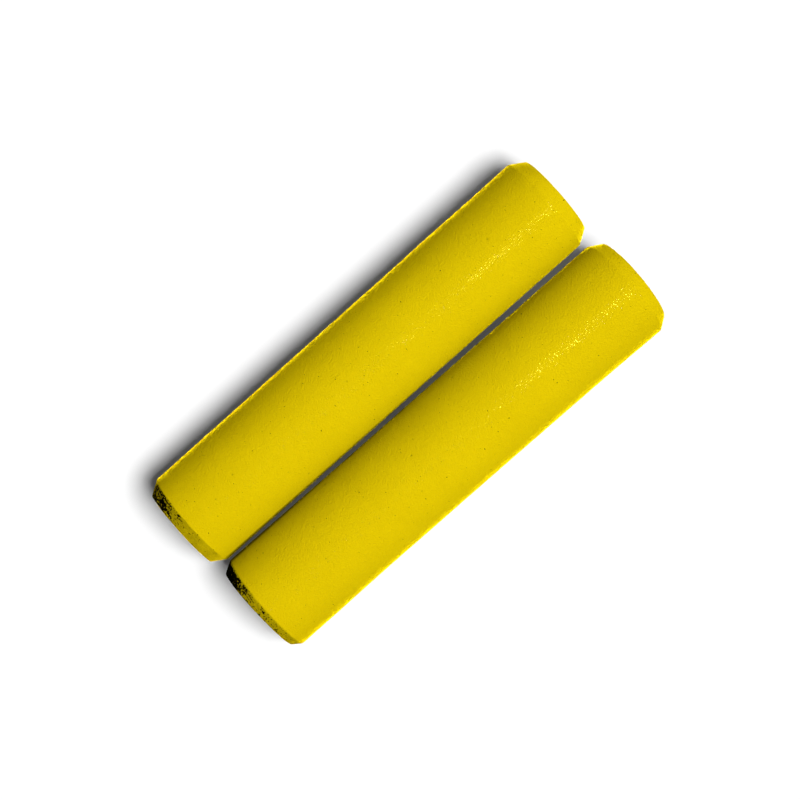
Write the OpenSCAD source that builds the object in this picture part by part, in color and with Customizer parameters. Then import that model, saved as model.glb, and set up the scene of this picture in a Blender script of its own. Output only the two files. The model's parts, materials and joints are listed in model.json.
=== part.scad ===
// A pair of detailing clay bars, lying side by side on a table.
// Each bar is one solid rod of kneadable clay with a bevel round both ends, and
// it has settled slightly flat along the line that it rests on.
// Millimetres, +Z up. The bars lie along X, and the origin is on the table,
// under the middle of the pair.

/* [Bar] */
// Diameter of a bar
bar_d = 25; // [18:0.5:34]
// Length of a bar, from one end face to the other
bar_l = 116; // [80:1:170]
// Length of the bevel, along the bar
bevel_l = 3.2; // [1:0.1:8]
// Depth of the bevel, towards the bar's axis
bevel_r = 2; // [0.5:0.1:5]
// Depth to which a bar has settled flat where it rests
settle = 0.1; // [0.02:0.01:0.4]

/* [Lay] */
// Clear gap between the two bars at mid length
gap = 0.85; // [0.85:0.05:12]
// Turn of each bar away from the X axis in degrees, so that the gap opens towards +X
splay = 0.22; // [0:0.01:0.25]
// Distance that the front bar lies ahead of the rear bar, towards +X
stagger = 1; // [0:0.1:10]

/* [Hidden] */
bar_r = bar_d / 2;
end_r = bar_r - bevel_r;
half_l = bar_l / 2;
axis_z = bar_r - settle;
side_y = (bar_d + gap) / 2;
clay_yellow = [0.88, 0.77, 0.02];

// Half of a bar's lengthwise section: x is the radius and y runs along the bar.
module bar_section() {
    polygon([
        [0, -half_l],
        [end_r, -half_l],
        [bar_r, -half_l + bevel_l],
        [bar_r, half_l - bevel_l],
        [end_r, half_l],
        [0, half_l],
    ]);
}

// Everything under the table top, which the settled flat is cut to.
module below_table() {
    translate([-bar_l, -bar_d, -bar_d])
        cube([2 * bar_l, 2 * bar_d, bar_d]);
}

// One bar, lying along X on the table with its middle over the origin.
module bar() {
    difference() {
        translate([0, 0, axis_z])
            rotate([0, 90, 0])
                rotate_extrude($fn = 128)
                    bar_section();
        below_table();
    }
}

// The bar further back, at +Y.
module rear_bar() {
    color(clay_yellow)
        translate([-stagger / 2, side_y, 0])
            rotate([0, 0, splay])
                bar();
}

// The bar nearer the front, at -Y.
module front_bar() {
    color(clay_yellow)
        translate([stagger / 2, -side_y, 0])
            rotate([0, 0, -splay])
                bar();
}

rear_bar();
front_bar();
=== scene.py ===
import json
import math

import bpy
import numpy as np
from mathutils import Matrix, Vector


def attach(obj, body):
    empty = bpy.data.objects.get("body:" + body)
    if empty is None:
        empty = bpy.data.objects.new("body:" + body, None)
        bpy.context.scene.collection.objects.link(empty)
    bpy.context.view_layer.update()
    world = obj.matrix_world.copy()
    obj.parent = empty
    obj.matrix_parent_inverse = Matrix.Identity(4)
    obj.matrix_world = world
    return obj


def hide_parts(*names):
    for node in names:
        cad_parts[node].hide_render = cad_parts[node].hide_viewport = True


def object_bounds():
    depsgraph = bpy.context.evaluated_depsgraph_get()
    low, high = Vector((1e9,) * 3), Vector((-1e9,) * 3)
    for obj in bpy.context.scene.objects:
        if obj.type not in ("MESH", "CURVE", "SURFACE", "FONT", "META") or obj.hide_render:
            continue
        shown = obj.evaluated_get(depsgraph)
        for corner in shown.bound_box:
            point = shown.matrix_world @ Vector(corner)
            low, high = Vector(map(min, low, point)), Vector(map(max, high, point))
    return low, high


# A pair of detailing clay bars, lying on a pale floor under soft studio light.
# Each CAD bar is replaced by a finer mesh of the same size: its edges are rounded, its skin is
# uneven and pitted, its left bevel is torn, and its end faces carry the marks of a cutting wire.
# Metres, +Z up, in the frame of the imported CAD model.

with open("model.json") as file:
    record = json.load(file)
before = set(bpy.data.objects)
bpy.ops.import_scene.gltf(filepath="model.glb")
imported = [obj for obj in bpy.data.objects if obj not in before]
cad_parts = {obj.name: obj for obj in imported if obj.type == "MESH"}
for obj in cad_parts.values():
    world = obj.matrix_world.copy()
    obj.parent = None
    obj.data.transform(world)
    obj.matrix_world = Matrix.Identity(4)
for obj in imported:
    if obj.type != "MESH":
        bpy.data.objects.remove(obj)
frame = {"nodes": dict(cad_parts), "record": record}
cad_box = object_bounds()

MM = 0.001
TAU = 2 * math.pi
PAIR_LENGTH = (cad_box[1] - cad_box[0]).x
FLOOR_Z = cad_box[0].z

# Camera: places in lengths of the pair, its turn in degrees, its lens in mm
CAMERA_PLACE = (-0.0974, 0, 6.17)
CAMERA_TARGET = (-0.0068, 0.0137, 0.106)
CAMERA_TURN = 41.5
CAMERA_LENS = 138.1

# Light: places in metres, and what the room sends from above, from below, and from straight below in
# reflections
LIGHTS = {
    "key": {"kind": "SUN", "place": (0.39, -0.90, 3.0), "energy": 3.45, "angle": math.radians(24)},
    "fill": {"kind": "AREA", "place": (3.0, 0, 0.3), "energy": 26, "size": 1.5},
    "glint": {"kind": "AREA", "place": (0.0715, -0.0694, 0.3), "energy": 0.42, "size": 0.015,
              "color": (1, 0.84, 0.07)},
}
ROOM_GLOW = (0.04, 0.04, 0.04, 1)
TABLE_GLOW = (0.59, 0.57, 0.01, 1)
GLOSS_GLOW = (13.5, 10.5, 0.07, 1)
STAGE_RADIUS = 1.5
STAGE_SIDES = 96
BACKDROP_HEIGHT = 8
FLOOR_WHITE = (0.95, 0.95, 0.95)

# Colours of the clay, and of painted shade on it
DEEP_YELLOW = (0.67, 0.49, 0.001, 1)
PALE_YELLOW = (0.76, 0.565, 0.0015, 1)
# partly painted shade: a darker scraped colour where the bevels are torn
SCRAPED_SHADE = (0.40, 0.30, 0.0008, 1)
# painted shade: the colour the clay takes in the gap between the bars and other crevices
CREVICE_SHADE = (0.09, 0.066, 0.0003, 1)
# partly painted shade: near-black pores, most on the left bevels' side away from the light
BLACK_PORE_SHADE = (0.002, 0.0018, 0.0002, 1)
# painted shade in the pits
PIT_SHADE = (0.30, 0.22, 0.0006, 1)

# Size of the clay's patterns, and height of its bump
CLOUDS = 16 * MM
MOTTLE = 1.8 * MM
GRAIN = 0.38 * MM
SCRAPES = 0.36 * MM
SCRAPE_SCALE = (1, 0.25, 0.25)  # scrapes run round a bar, four times as long as they are wide
PORES = 0.45 * MM
FACETS = 0.45 * MM
SPECKS = 0.4 * MM
GRAIN_HEIGHT = 0.30 * MM
FACET_HEIGHT = 0.07 * MM
CREVICE_REACH = 1.9 * MM    # a surface is shaded by what is this near
LEFT_END_SHADE = (-45 * MM, 5 * MM)  # painted shade: from the one X to the other the yellow goes from darker to plain

# Shader settings that are the same all over the clay
CLAY_SETTINGS = {
    "IOR": 1.45,
    "Specular Tint": (1.0, 0.86, 0.06, 1),
    "Coat Roughness": 0.10,
    "Sheen Roughness": 0.3,
    "Sheen Tint": (1.0, 0.75, 0.003, 1),
}
MASKS = ("torn_and_shaded", "pit", "cut")

# Mesh density
AROUND = 256                # columns round a bar, a multiple of 8
ROW_SPACING = 0.38 * MM     # along a bar, where it is straight
ARC_STEPS = 4               # rows in each rounded edge
RIM_ROWS = 9                # rings between the middle grid of an end face and its edge
MIDDLE_GRID = (0.36, 0.20)  # that grid is part square and part disc, in shares of the face's radius

# Shape of every bar
SHOULDER_ROUND = 0.5 * MM   # where the body meets the bevel
RIM_ROUND = 0.35 * MM       # where the bevel meets the end face
LUMP = (24 * MM, 0.015 * MM)    # wavelength and height of the slow unevenness
PEEL = (2.6 * MM, 0.002 * MM)   # the same for the orange-peel skin
FINE = (1.3 * MM, 0.003 * MM)   # and for its finest bumps
LEAN_REACH = 12 * MM        # how far past its bevel an end's lean is felt
TOLERANCE = 0.01 * MM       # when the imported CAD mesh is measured

# Marks on every bar. Pairs of plain numbers are the least and the most.
PIT_RADIUS = (0.13, 0.24)   # in mm
PIT_DEPTH = (0.7, 1.1)      # in radii of the pit
PINCH_REACH = 1.7 * MM      # the mesh is drawn together this far round each pit
PINCH = 0.35                # and to this share of its spacing at the pit's middle
NICK_WIDTH = (0.4, 1.3)     # in mm, across a dent in the edge of a bevel
NICK_STRETCH = 1.4          # how much longer a dent is along the bar
NICK_DEPTH = (0.05, 0.16)   # in mm
CUT_BEVEL = 0.05            # how torn the right bevel is
TEAR_AND_SHADE_FADE = 0.5 * MM        # the tearing, and the shade painted with it, fades out over this distance at the shoulder
TEAR_AND_SHADE_PATCHES = 3 * MM       # wavelength at which it varies
TEAR = (1.1 * MM, 0.05 * MM)    # wavelength and depth of its roughness
WIRE_PITCH = 1.5 * MM       # between the arcs that the cutting wire left on an end face
WIRE_HEIGHT = 0.030 * MM
WIRE_WANDER = 9 * MM        # wavelength of the arcs' wandering
WIRE_CENTRE = 45 * MM       # the arcs bend round a point about this far to the side
WIRE_SPREAD = 20 * MM       # give or take this
FACE_GRAIN = (1.6 * MM, 0.010 * MM)     # wavelength and height of an end face's grain
DISH = 0.12 * MM            # how far an end face sinks at its middle
FACE_FADE = 1.5 * MM        # the marks on an end face fade out this near its edge

# What differs from bar to bar. Swell adds to the radius, and drift moves the axis towards +Y, each at the
# left end, the middle and the right end. An end is cut short, its bevel is made longer by trim, and its
# top leans outwards, by one amount at the face and another at the shoulder. Skew turns the face so that its
# -Y side draws back. The tearing of the left bevel runs between a least and a most share, and the same share
# paints it dark, partly for the tearing and partly as painted shade on its side away from the light. It is
# most torn at its angle, and less so over its width. Angles are round the bar, from its top towards +Y, in
# degrees.
BARS = {
    "rear_bar": {
        "seed": 11, "pits": 15, "nicks": 7,
        "swell": (-0.20 * MM, -0.17 * MM, -0.02 * MM), "drift": (0.05 * MM, 0.11 * MM, 0.17 * MM),
        "left": {"short": 0, "trim": 0.3 * MM, "lean": (0.1 * MM, 0.8 * MM), "skew": 0},
        "right": {"short": 0, "trim": 0.3 * MM, "lean": (0.3 * MM, 0.4 * MM), "skew": 0},
        "torn_and_shaded": (0.19, 0.74), "torn_and_shaded_angle": 56, "torn_and_shaded_width": 42,
    },
    "front_bar": {
        "seed": 29, "pits": 13, "nicks": 9,
        "swell": (0.26 * MM, 0.12 * MM, 0.40 * MM), "drift": (-0.17 * MM, -0.12 * MM, -0.30 * MM),
        "left": {"short": 0.48 * MM, "trim": -0.8 * MM, "lean": (0.35 * MM, 0.85 * MM), "skew": 0.35 * MM},
        "right": {"short": 0.8 * MM, "trim": -0.4 * MM, "lean": (0.9 * MM, 1.2 * MM), "skew": 0.3 * MM},
        "torn_and_shaded": (0.33, 1.3), "torn_and_shaded_angle": 80, "torn_and_shaded_width": 46,
    },
}
ENDS = {"left": -1, "right": 1}


# ---------------------------------------------------------------- camera, floor and light

def look_at(obj, place, target, up):
    """Puts obj at place, facing target, with up towards the top of its view."""
    back = (Vector(place) - Vector(target)).normalized()
    right = Vector(up).cross(back).normalized()
    turned = Matrix((right, back.cross(right), back)).transposed().to_4x4()
    obj.matrix_world = Matrix.Translation(place) @ turned


def add_camera():
    """A long lens almost straight above the pair, turned so that the bars run up to the right."""
    turn = math.radians(CAMERA_TURN)
    data = bpy.data.cameras.new("camera")
    data.sensor_width = 36
    data.lens = CAMERA_LENS
    data.clip_start, data.clip_end = 0.01, 20
    camera = bpy.data.objects.new("camera", data)
    bpy.context.scene.collection.objects.link(camera)
    place = Vector(CAMERA_PLACE) * PAIR_LENGTH
    target = Vector(CAMERA_TARGET) * PAIR_LENGTH
    look_at(camera, place, target, (math.sin(turn), math.cos(turn), 0))
    bpy.context.scene.camera = camera


def add_light(name, kind, place, energy, **settings):
    """A light that shines on the pair from that place."""
    data = bpy.data.lights.new(name, kind)
    data.energy = energy
    for key, value in settings.items():
        setattr(data, key, value)
    light = bpy.data.objects.new(name, data)
    bpy.context.scene.collection.objects.link(light)
    look_at(light, place, (0, 0, 0), (0, 1, 0.01))
    light.visible_camera = False
    return light


def add_world():
    """A room that is dim above and bright below, which stands for what the white table throws back up.

    It is yellow below, because the clay tints all that it reflects, and brighter straight below in
    reflections, which gives the clay a thin bright rim."""
    world = bpy.data.worlds.new("room")
    world.use_nodes = True
    tree = world.node_tree
    direction = add_node(tree, "ShaderNodeTexCoord").outputs["Generated"]
    height = add_node(tree, "ShaderNodeSeparateXYZ", {"Vector": direction}).outputs["Z"]
    reflected = add_node(tree, "ShaderNodeLightPath").outputs["Is Glossy Ray"]
    below = mix_colour(tree, reflected, TABLE_GLOW, GLOSS_GLOW)
    colour = mix_colour(tree, remap(tree, height, -0.9, -0.65), below, TABLE_GLOW)
    colour = mix_colour(tree, remap(tree, height, -0.1, 0.1), colour, ROOM_GLOW)
    tree.links.new(colour, tree.nodes["Background"].inputs["Color"])
    bpy.context.scene.world = world


def add_lights():
    """A broad light almost overhead, a weak one from the right, and a small lamp that only makes glints."""
    lights = {name: add_light(name, **spec) for name, spec in LIGHTS.items()}
    lights["key"].visible_glossy = lights["fill"].visible_glossy = False
    lights["glint"].visible_diffuse = False
    bpy.context.scene.view_settings.view_transform = "Standard"


def plain_material(name, colour, glow=0.0):
    """A matt surface for the stage, which can glow white."""
    material = bpy.data.materials.new(name)
    material.use_nodes = True
    shader = material.node_tree.nodes["Principled BSDF"]
    shader.inputs["Base Color"].default_value = (*colour, 1)
    shader.inputs["Roughness"].default_value = 0.9
    shader.inputs["Specular IOR Level"].default_value = 0.1
    shader.inputs["Emission Color"].default_value = (1, 1, 1, 1)
    shader.inputs["Emission Strength"].default_value = glow
    return material


def add_stage():
    """A wide pale floor, and a far backdrop that only the camera sees.

    What the floor throws back up comes from the room's glow instead."""
    bpy.ops.mesh.primitive_circle_add(vertices=STAGE_SIDES, radius=STAGE_RADIUS, fill_type="NGON")
    floor = bpy.context.object
    floor.location.z = FLOOR_Z
    floor.name = "floor"
    floor.data.materials.append(plain_material("floor_paint", FLOOR_WHITE))
    bpy.ops.mesh.primitive_cylinder_add(
        vertices=STAGE_SIDES, radius=STAGE_RADIUS, depth=BACKDROP_HEIGHT, end_fill_type="NOTHING")
    backdrop = bpy.context.object
    backdrop.name = "backdrop"
    backdrop.data.materials.append(plain_material("backdrop_paint", (0, 0, 0), glow=1.0))
    backdrop.visible_diffuse = backdrop.visible_glossy = backdrop.visible_shadow = False
    floor.visible_diffuse = floor.visible_glossy = False


# ---------------------------------------------------------------- material

def add_node(tree, kind, inputs=None, **settings):
    """A new node with these settings, whose inputs are given as values or as sockets to link from."""
    node = tree.nodes.new(kind)
    for key, value in settings.items():
        setattr(node, key, value)
    for key, value in (inputs or {}).items():
        if isinstance(value, bpy.types.NodeSocket):
            tree.links.new(value, node.inputs[key])
        else:
            node.inputs[key].default_value = value
    return node


def calculate(tree, operation, *values, clamp=False):
    """The result of a math node."""
    node = add_node(tree, "ShaderNodeMath", dict(enumerate(values)), operation=operation, use_clamp=clamp)
    return node.outputs[0]


def noise(tree, place, size, detail):
    """A cloudy pattern whose blotches are about size across, from 0 to 1 with a middle of 0.5."""
    inputs = {"Vector": place, "Scale": 1 / size, "Detail": detail}
    return add_node(tree, "ShaderNodeTexNoise", inputs).outputs["Fac"]


def stretched(tree, place, scale):
    """Coordinates scaled along each axis, which stretches a pattern where the scale is under 1."""
    inputs = {"Vector": place, "Scale": scale}
    return add_node(tree, "ShaderNodeMapping", inputs).outputs["Vector"]


def remap(tree, value, low, high, out_low=0.0, out_high=1.0):
    """value taken from low..high to out_low..out_high, held at the ends."""
    inputs = {"Value": value, "From Min": low, "From Max": high, "To Min": out_low, "To Max": out_high}
    return add_node(tree, "ShaderNodeMapRange", inputs).outputs["Result"]


def mix_colour(tree, share, first, second):
    """A colour that goes from first to second as share goes from 0 to 1."""
    node = add_node(tree, "ShaderNodeMix", data_type="RGBA")
    colours = [s for s in node.inputs if s.type == "RGBA"]
    for socket, value in zip([node.inputs["Factor"], *colours], (share, first, second)):
        if isinstance(value, bpy.types.NodeSocket):
            tree.links.new(value, socket)
        else:
            socket.default_value = value
    return next(s for s in node.outputs if s.type == "RGBA")


def mask(tree, name):
    """The mesh's own mask of that name, from 0 to 1."""
    return add_node(tree, "ShaderNodeAttribute", attribute_name=name).outputs["Fac"]


def bumped(tree, height, distance):
    """The directions of the surface once it is raised by height, in units of that distance."""
    inputs = {"Height": height, "Strength": 1.0, "Distance": distance}
    return add_node(tree, "ShaderNodeBump", inputs).outputs["Normal"]


def skin_colour(tree, place, grain):
    """Yellow in clouds, mottles and grain, with painted shade that makes it a little deeper towards the left
    end.
    """
    clouds = noise(tree, place, CLOUDS, 3)
    mottle = noise(tree, place, MOTTLE, 2)
    tone = calculate(tree, "MULTIPLY_ADD", mottle, 0.2, calculate(tree, "MULTIPLY", clouds, 0.35))
    tone = calculate(tree, "MULTIPLY_ADD", grain, 0.45, tone)
    # painted shade: the yellow darkens towards the left end
    along = add_node(tree, "ShaderNodeSeparateXYZ", {"Vector": place}).outputs["X"]
    tone = calculate(tree, "ADD", tone, remap(tree, along, *LEFT_END_SHADE, -0.12, 0.0))
    return mix_colour(tree, remap(tree, tone, 0.3, 0.7), DEEP_YELLOW, PALE_YELLOW)


def worn_and_shaded_colour(tree, colour, torn_and_shaded, pit, scrapes, pores, open_air):
    """colour once it is scraped and pored where it is torn, which is partly painted shade on the left bevels'
    side away from the light, and with painted shade in crevices and pits.
    """
    # partly painted shade: scraped and darker where the bevels are torn
    streaks = remap(tree, scrapes, 0.4, 0.6, 1.0, 0.6)
    scraped_and_shaded = calculate(tree, "MULTIPLY", remap(tree, torn_and_shaded, 0.05, 0.25), streaks)
    colour = mix_colour(tree, scraped_and_shaded, colour, SCRAPED_SHADE)
    # painted shade: darker where something stands close, as in the gap between the bars
    colour = mix_colour(tree, remap(tree, open_air, 0.45, 0.95), CREVICE_SHADE, colour)
    # partly painted shade: black pores where the tearing is strongest, on the left bevels' side away from the
    # light
    ragged = calculate(tree, "MULTIPLY_ADD", scrapes, 0.5, calculate(tree, "MULTIPLY", pores, 0.7))
    in_shaded_pore = remap(tree, calculate(tree, "MULTIPLY_ADD", torn_and_shaded, 0.45, ragged), 0.84, 0.86)
    colour = mix_colour(tree, in_shaded_pore, colour, BLACK_PORE_SHADE)
    # painted shade: darker in the pits
    return mix_colour(tree, calculate(tree, "MULTIPLY", pit, 0.42), colour, PIT_SHADE)


def clay_roughness(tree, torn_and_shaded, cut, grain):
    """Roughness that follows the grain and is higher where the clay is torn or cut."""
    rough = remap(tree, grain, 0.25, 0.75, 0.55, 0.70)
    rough = calculate(tree, "MULTIPLY_ADD", torn_and_shaded, 0.25, rough)
    return calculate(tree, "MULTIPLY_ADD", cut, 0.08, rough, clamp=True)


def clay_height(tree, torn_and_shaded, grain, scrapes, pores):
    """Height of the fine bump: grain all over, with pores and scrapes added where the clay is torn."""
    height = calculate(tree, "MULTIPLY_ADD", pores, calculate(tree, "MULTIPLY", torn_and_shaded, 1.2), grain)
    return calculate(tree, "MULTIPLY_ADD", scrapes, calculate(tree, "MULTIPLY", torn_and_shaded, 0.8), height)


def clay_material():
    """Matt yellow putty with gloss on small specks and painted shade in crevices, pits and tears. Its gloss
    and sheen fade in crevices and tears.
    """
    material = bpy.data.materials.new("yellow_clay")
    material.use_nodes = True
    tree = material.node_tree
    shader = tree.nodes["Principled BSDF"]
    place = add_node(tree, "ShaderNodeTexCoord").outputs["Object"]
    torn_and_shaded, pit, cut = (mask(tree, name) for name in MASKS)
    grain = noise(tree, place, GRAIN, 2)
    scrapes = noise(tree, stretched(tree, place, SCRAPE_SCALE), SCRAPES, 1)
    pores = noise(tree, place, PORES, 1)
    # how open each point is: it sets the painted shade in crevices, and fades the gloss there
    open_air = add_node(
        tree, "ShaderNodeAmbientOcclusion", {"Distance": CREVICE_REACH}, samples=8).outputs["AO"]
    whole = calculate(tree, "SUBTRACT", open_air, torn_and_shaded)
    specks = remap(tree, noise(tree, place, SPECKS, 0), 0.56, 0.60)
    colour = skin_colour(tree, place, grain)
    links = {
        "Base Color": worn_and_shaded_colour(tree, colour, torn_and_shaded, pit, scrapes, pores, open_air),
        "Roughness": clay_roughness(tree, torn_and_shaded, cut, grain),
        "Normal": bumped(tree, clay_height(tree, torn_and_shaded, grain, scrapes, pores), GRAIN_HEIGHT),
        "Coat Normal": bumped(tree, noise(tree, place, FACETS, 1), FACET_HEIGHT),
        "Coat Weight": calculate(tree, "MULTIPLY", specks, remap(tree, whole, 0.75, 1.0, 0.0, 0.3)),
        "Specular IOR Level": remap(tree, whole, 0.3, 0.95, 0.0, 0.12),
        "Sheen Weight": remap(tree, whole, 0.0, 0.6, 0.0, 0.05),
    }
    for name, socket in links.items():
        tree.links.new(socket, shader.inputs[name])
    for name, value in CLAY_SETTINGS.items():
        shader.inputs[name].default_value = value
    return material


# ---------------------------------------------------------------- measuring the CAD bars

def measure_bar(name):
    """The bar's middle, directions and sizes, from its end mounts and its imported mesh."""
    mounts = {m["name"]: Vector(m["pos_m"]) for m in frame["record"]["mounts"]}
    left, right = mounts[f"{name}_left_end"], mounts[f"{name}_right_end"]
    middle = (left + right) / 2
    along = (right - left).normalized()
    points = np.array([v.co - middle for v in frame["nodes"][name].data.vertices])
    x = points @ np.array(along)
    radius = np.linalg.norm(points - np.outer(x, along), axis=1)
    half_length = x.max()
    body = radius.max()
    return {
        "middle": np.array(middle),
        "along": np.array(along),
        "side": np.array(Vector((0, 0, 1)).cross(along)),
        "half_length": half_length,
        "radius": body,
        "end_radius": radius[x > half_length - TOLERANCE].max(),
        "bevel_length": half_length - x[radius > body - TOLERANCE].max(),
    }


# ---------------------------------------------------------------- patterns

def ripple(points, wavelength, rng, waves=40):
    """A smooth random field of about unit height whose bumps are about a wavelength apart."""
    directions = rng.normal(size=(waves, 3))
    directions /= np.linalg.norm(directions, axis=1)[:, None]
    lengths = wavelength * rng.uniform(0.8, 1.3, waves)
    phases = rng.uniform(0, TAU, waves)
    return np.cos(points @ (directions * (TAU / lengths)[:, None]).T + phases).sum(1) * math.sqrt(2 / waves)


def bell(distance, width):
    """A smooth bump, 1 at no distance, that dies away over about that width."""
    return np.exp(-((distance / width) ** 2))


def between_ends(values, along):
    """A smooth curve through values at the left end, the middle and the right end.

    along is -1, 0 and 1 there."""
    left, middle, right = values
    return middle + (right - left) / 2 * along + ((left + right) / 2 - middle) * along ** 2


def turn_between(a, b):
    """The angle from b to a, from minus half a turn to half a turn."""
    return (a - b + math.pi) % TAU - math.pi


# ---------------------------------------------------------------- outline of a bar

def bevel_of(spec, size, end_name):
    """Length of the bevel at that end."""
    return size["bevel_length"] + spec[end_name]["trim"]


def leaned(spec, size, x, up, side):
    """x once the ends are cut short, lean and are skewed. up and side are shares of the radius."""
    shift = np.zeros_like(x)
    for name, end in ENDS.items():
        from_face = size["half_length"] - end * x
        bevel = bevel_of(spec, size, name)
        near = np.clip(1 - (from_face - bevel) / LEAN_REACH, 0, 1)
        lean = np.interp(from_face, (0, bevel), spec[name]["lean"])
        skew = np.interp(from_face, (0, bevel), (spec[name]["skew"], 0))
        shift += end * near * (lean * up + skew * side - spec[name]["short"])
    return x + shift


def unit(v):
    """v made one unit long."""
    return v / np.linalg.norm(v)


def rounded_corner(before, corner, after, radius):
    """Points of the arc that rounds a corner."""
    back, ahead = unit(before - corner), unit(after - corner)
    half_angle = math.acos(np.clip(back @ ahead, -1, 1)) / 2
    start = corner + back * radius / math.tan(half_angle)
    stop = corner + ahead * radius / math.tan(half_angle)
    centre = corner + unit(back + ahead) * radius / math.sin(half_angle)
    shares = np.linspace(0, 1, ARC_STEPS + 1)[:, None]
    chord = start + (stop - start) * shares - centre
    return centre + radius * chord / np.linalg.norm(chord, axis=1)[:, None]


def filled(start, stop, spacing):
    """Points from start to just before stop, no further apart than spacing."""
    count = max(1, math.ceil(np.linalg.norm(stop - start) / spacing))
    return start + (stop - start) * (np.arange(count) / count)[:, None]


def bar_outline(spec, size):
    """Rows of (distance along the bar, radius), from the edge of one end face to that of the other."""
    half, body = size["half_length"], size["radius"]
    slope = (body - size["end_radius"]) / size["bevel_length"]
    corners = []
    for name, end in ENDS.items():
        edge = size["end_radius"] - spec[name]["trim"] * slope
        shoulder = half - bevel_of(spec, size, name)
        side = [(end * half, edge - 3 * RIM_ROUND), (end * half, edge), (end * shoulder, body)]
        corners += side[::-end]
    corners = np.array(corners)
    rounds = [RIM_ROUND, SHOULDER_ROUND, SHOULDER_ROUND, RIM_ROUND]
    rows, last = [], corners[0]
    for before, corner, after, radius in zip(corners, corners[1:], corners[2:], rounds):
        arc = rounded_corner(before, corner, after, radius)
        rows += [filled(last, arc[0], ROW_SPACING), arc[:-1]]
        last = arc[-1]
    rows += [filled(last, corners[-1], ROW_SPACING), corners[-1:]]
    return np.concatenate(rows)


def outline_normals(rows):
    """The outward direction at each row, as (along, outwards)."""
    step = np.gradient(rows, axis=0)
    normals = np.stack([-step[:, 1], step[:, 0]], axis=1)
    return normals / np.linalg.norm(normals, axis=1)[:, None]


# ---------------------------------------------------------------- marks on a bar

def choose_pits(spec, size, rng):
    """(along, angle, radius, depth) of each pinhole in the body."""
    reach = size["half_length"] - 2 * size["bevel_length"] - 2 * PINCH_REACH
    count = spec["pits"]
    radius = rng.uniform(*PIT_RADIUS, count) * MM
    depth = radius * rng.uniform(*PIT_DEPTH, count)
    return list(zip(rng.uniform(-reach, reach, count), rng.uniform(0, TAU, count), radius, depth))


def pinch_towards(pits, x, angle, body):
    """Draws the mesh's rows and columns together round each pit, so that the pit has enough points."""
    for pit_x, pit_angle, _, _ in pits:
        dx, da = x - pit_x, turn_between(angle, pit_angle)
        share = np.minimum(np.hypot(dx, da * body) / PINCH_REACH, 1)
        keep = PINCH + (1 - PINCH) * share ** 2
        x = pit_x + dx * keep
        angle = pit_angle + da * keep
    return x, angle


def pit_mask(pits, x, angle, body):
    """How far into a pit each point is, from 0 to 1, and the depth there."""
    inside, depth_there = np.zeros_like(x), np.zeros_like(x)
    for pit_x, pit_angle, radius, depth in pits:
        shape = bell(np.hypot(x - pit_x, turn_between(angle, pit_angle) * body), radius)
        inside = np.maximum(inside, shape)
        depth_there += depth * shape
    return inside, depth_there


def torn_and_shaded_mask(spec, size, x, angle, points, rng):
    """How torn the bevels are, from 0 to 1: slightly at the right, and most at the left towards +Y, the side
    away from the light. The dark colour drawn from it is partly painted shade.
    """
    away = np.abs(turn_between(angle, math.radians(spec["torn_and_shaded_angle"])))
    least, most = spec["torn_and_shaded"]
    left = least + (most - least) * bell(away, math.radians(spec["torn_and_shaded_width"]))
    torn_and_shaded = np.zeros_like(x)
    for name, amount in (("left", left), ("right", CUT_BEVEL)):
        from_face = size["half_length"] - ENDS[name] * x
        torn_and_shaded += amount * np.clip((bevel_of(spec, size, name) - from_face) / TEAR_AND_SHADE_FADE + 0.5, 0, 1)
    return np.clip(torn_and_shaded * (1 + 0.1 * ripple(points, TEAR_AND_SHADE_PATCHES, rng)), 0, 1)


def nick_depth(spec, size, x, angle, rng):
    """Depth of the small dents along the edges of both bevels."""
    depth = np.zeros_like(x)
    for name, end in ENDS.items():
        for _ in range(spec["nicks"]):
            edge_x = end * (size["half_length"] - rng.choice([0, bevel_of(spec, size, name)]))
            at, width = rng.uniform(0, TAU), rng.uniform(*NICK_WIDTH) * MM
            away = np.hypot((x - edge_x) / NICK_STRETCH, turn_between(angle, at) * size["radius"])
            depth += rng.uniform(*NICK_DEPTH) * MM * bell(away, width)
    return depth


def skin_relief(spec, size, x, angle, points, torn_and_shaded, pit_depth, rng):
    """Height of the skin over the plain outline, for the body and the bevels."""
    height = between_ends(spec["swell"], x / size["half_length"])
    for wavelength, amount in (LUMP, PEEL, FINE):
        height = height + amount * ripple(points, wavelength, rng)
    height -= pit_depth + nick_depth(spec, size, x, angle, rng)
    wavelength, depth = TEAR
    tear = ripple(points, wavelength, rng, 60)
    return height - torn_and_shaded * depth * np.clip(tear + 0.3, 0, 2)


def cut_relief(across, up, rng):
    """Height of an end face: faint arcs left by the cutting wire, and a shallow dish."""
    radius = np.hypot(across, up)
    centre = rng.uniform(-1, 1, 2) * WIRE_SPREAD + np.array((WIRE_CENTRE, 0))
    flat_points = np.stack([across, up, np.zeros_like(up)], axis=-1)
    wander = ripple(flat_points, WIRE_WANDER, rng) * 0.5
    arcs = np.cos(np.hypot(across - centre[0], up - centre[1]) / WIRE_PITCH * TAU + wander)
    dish = DISH * (1 - (radius / radius.max()) ** 2)
    wavelength, height = FACE_GRAIN
    return WIRE_HEIGHT * arcs + height * ripple(flat_points, wavelength, rng) - dish


# ---------------------------------------------------------------- meshes

def quads_between(inner, outer):
    """Quads that join two rings of point numbers, seen from the side where they run anticlockwise."""
    return np.stack([inner, outer, np.roll(outer, -1), np.roll(inner, -1)], axis=1)


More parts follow.
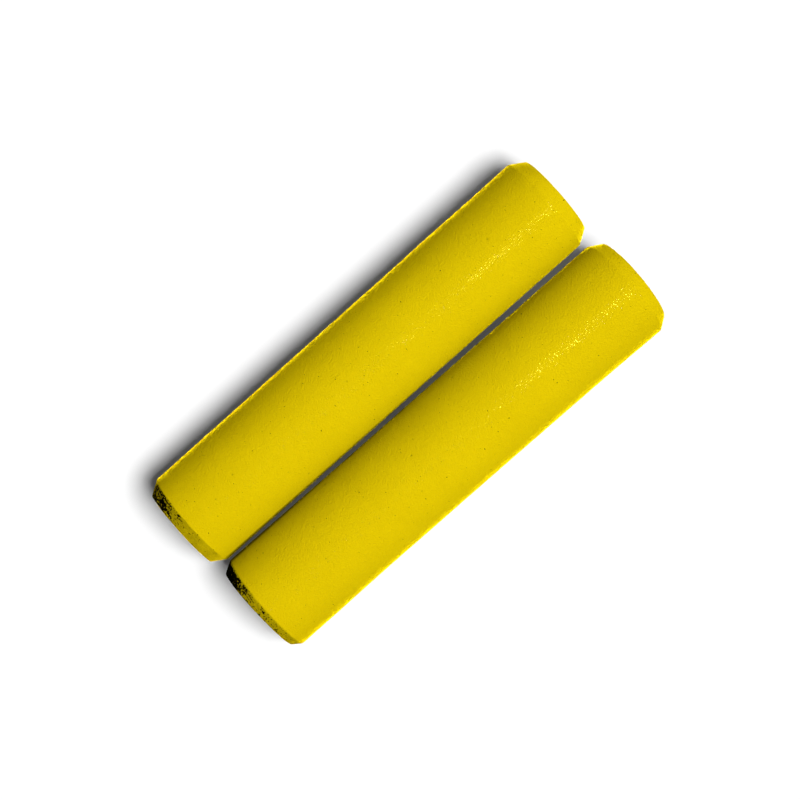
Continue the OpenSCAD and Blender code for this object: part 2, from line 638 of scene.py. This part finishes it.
def end_face(radius):
    """A round end face as (points, quads, ring): a square grid that turns into rings, with its edge left out.

    Each point is (up, side). The ring lists the outermost points, one for each column of the body."""
    cells = AROUND // 4
    steps = np.linspace(-1, 1, cells + 1)
    up, side = (g.ravel() for g in np.meshgrid(steps, steps, indexing="ij"))
    reach = np.maximum(np.abs(up), np.abs(side))
    upright = np.abs(up) >= np.abs(side)
    longer = np.where(upright, up, side)
    ratio = np.where(upright, side, up) / np.where(reach > 0, longer, 1)
    angle = np.where(upright, ratio * math.pi / 4 + math.pi * (up < 0),
                     (2 - ratio) * math.pi / 4 + math.pi * (side < 0))
    square = np.stack([up, side], axis=1)
    disc = reach[:, None] * np.stack([np.cos(angle), np.sin(angle)], axis=1)
    points = [radius * (MIDDLE_GRID[0] * square + MIDDLE_GRID[1] * disc)]
    number = np.arange((cells + 1) ** 2).reshape(cells + 1, cells + 1)
    corners = [number[:-1, :-1], number[:-1, 1:], number[1:, 1:], number[1:, :-1]]
    quads = [np.stack(corners, -1).reshape(-1, 4)]

    edge = np.flatnonzero(reach > 1 - 1e-9)
    column = np.rint(angle[edge] / TAU * AROUND).astype(int) % AROUND
    ring = edge[np.argsort(column)]
    turn = np.arange(AROUND) * TAU / AROUND
    circle = radius * np.stack([np.cos(turn), np.sin(turn)], axis=1)
    start, count = points[0][ring], len(number.ravel())
    for row in range(1, RIM_ROWS):
        points.append(start + (circle - start) * row / RIM_ROWS)
        next_ring = count + np.arange(AROUND)
        quads.append(quads_between(ring, next_ring)[:, ::-1])
        ring, count = next_ring, count + AROUND
    return np.concatenate(points), np.concatenate(quads), ring


def bar_points(spec, size, x, radius, angle, height, normals):
    """Points of the row frame from bar coordinates. height is measured along the outline's normals."""
    up, side = (radius / size["radius"] * turn(angle) for turn in (np.cos, np.sin))
    x = leaned(spec, size, x, up, side) + height * normals[..., 0]
    radius = radius + height * normals[..., 1]
    drift = between_ends(spec["drift"], x / size["half_length"])
    placed = size["middle"] + x[..., None] * size["along"]
    placed = placed + (radius * np.cos(angle))[..., None] * np.array((0, 0, 1.0))
    placed = placed + (radius * np.sin(angle) + drift)[..., None] * size["side"]
    placed[..., 2] = np.maximum(placed[..., 2], FLOOR_Z)
    return placed


def body_part(spec, size, rng):
    """Points, masks and rings of point numbers for the body and bevels of a bar."""
    rows = bar_outline(spec, size)
    turn = np.arange(AROUND) * TAU / AROUND
    x = np.repeat(rows[:, 0], AROUND)
    radius = np.repeat(rows[:, 1], AROUND)
    angle = np.tile(turn, len(rows))
    normals = np.repeat(outline_normals(rows), AROUND, axis=0)
    pits = choose_pits(spec, size, rng)
    x, angle = pinch_towards(pits, x, angle, size["radius"])
    plain = bar_points(spec, size, x, radius, angle, np.zeros_like(x), normals)
    inside, pit_depth = pit_mask(pits, x, angle, size["radius"])
    torn_and_shaded = torn_and_shaded_mask(spec, size, x, angle, plain, rng)
    height = skin_relief(spec, size, x, angle, plain, torn_and_shaded, pit_depth, rng)
    points = bar_points(spec, size, x, radius, angle, height, normals)
    numbers = np.arange(len(x)).reshape(len(rows), AROUND)
    return points, {"torn_and_shaded": torn_and_shaded, "pit": inside, "cut": np.zeros_like(x)}, numbers, rows


def end_part(spec, size, rows, end, rng):
    """Points, quads, outer ring and cut mask of an end face. end is -1 at the left and 1 at the right."""
    flat_radius = rows[0 if end < 0 else -1][1] + between_ends(spec["swell"], end)
    spots, quads, ring = end_face(flat_radius)
    up, side = spots[:, 0], spots[:, 1]
    fade = np.clip((flat_radius - np.hypot(up, side)) / FACE_FADE, 0, 1)
    height = cut_relief(side, up, rng) * fade
    normals = np.tile((end, 0.0), (len(spots), 1))
    x = np.full(len(spots), end * size["half_length"])
    points = bar_points(spec, size, x, np.hypot(up, side), np.arctan2(side, up), height, normals)
    return points, quads if end > 0 else quads[:, ::-1], ring, fade


def add_bar(name, material):
    """The detailed bar that stands for a CAD bar."""
    spec, size = BARS[name], measure_bar(name)
    rng = np.random.default_rng(spec["seed"])
    points, masks, numbers, rows = body_part(spec, size, rng)
    quads = [quads_between(a, b) for a, b in zip(numbers, numbers[1:])]
    for end, edge in ((-1, numbers[0]), (1, numbers[-1])):
        face_points, face_quads, ring, cut = end_part(spec, size, rows, end, rng)
        joining = quads_between(ring + len(points), edge)
        quads += [face_quads + len(points), joining if end < 0 else joining[:, ::-1]]
        points = np.concatenate([points, face_points])
        zeros = np.zeros(len(face_points))
        masks = {k: np.concatenate([v, cut if k == "cut" else zeros]) for k, v in masks.items()}

    mesh = bpy.data.meshes.new(f"{name}_clay")
    mesh.from_pydata(points.tolist(), [], np.concatenate(quads).tolist())
    for key, values in masks.items():
        mesh.attributes.new(key, "FLOAT", "POINT").data.foreach_set("value", values.astype(np.float32))
    mesh.shade_smooth()
    mesh.materials.append(material)
    bar = bpy.data.objects.new(f"{name}_clay", mesh)
    bpy.context.scene.collection.objects.link(bar)
    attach(bar, name)
    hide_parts(name)
    bar.visible_diffuse = False     # or the bars' bounce turns the gap and the shadow orange


add_camera()
add_world()
add_lights()
add_stage()
clay = clay_material()
for bar_name in BARS:
    add_bar(bar_name, clay)
